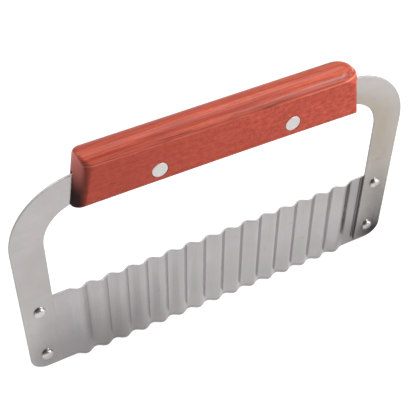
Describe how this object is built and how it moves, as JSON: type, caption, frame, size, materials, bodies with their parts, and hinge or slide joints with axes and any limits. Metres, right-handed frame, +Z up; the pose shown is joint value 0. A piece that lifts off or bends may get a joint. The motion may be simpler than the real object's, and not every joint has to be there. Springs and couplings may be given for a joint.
{
  "type": "wavy uncapping knife",
  "caption": "Hand-held push cutter: a corrugated steel blade riveted across a flat U-shaped steel bow with a slotted hardwood grip on its top bar.",
  "frame": {"origin": "middle of the cutting edge, under the centre of the bounding box", "axes": "+X along the blade to the right, +Y from front to back through the sheet, +Z up from the cutting edge to the grip"},
  "size_m": [0.18, 0.0124, 0.116],
  "materials": {
    "bow_steel": "satin, rolled sheet",
    "blade_steel": "satin, rolled sheet",
    "grip_wood": "red-brown stain under a thin lacquer",
    "rivet_steel": "pressed",
    "rivet_aluminium": "satin"
  },
  "bodies": {
    "root": {"bow_frame": "bow_steel", "wavy_blade": "blade_steel", "handle": "grip_wood", "blade_rivet_left_lower": "rivet_steel", "blade_rivet_left_upper": "rivet_steel", "blade_rivet_right_lower": "rivet_steel", "blade_rivet_right_upper": "rivet_steel", "handle_rivet_left_front": "rivet_aluminium", "handle_rivet_left_back": "rivet_aluminium", "handle_rivet_right_front": "rivet_aluminium", "handle_rivet_right_back": "rivet_aluminium"}
  },
  "joints": []
}
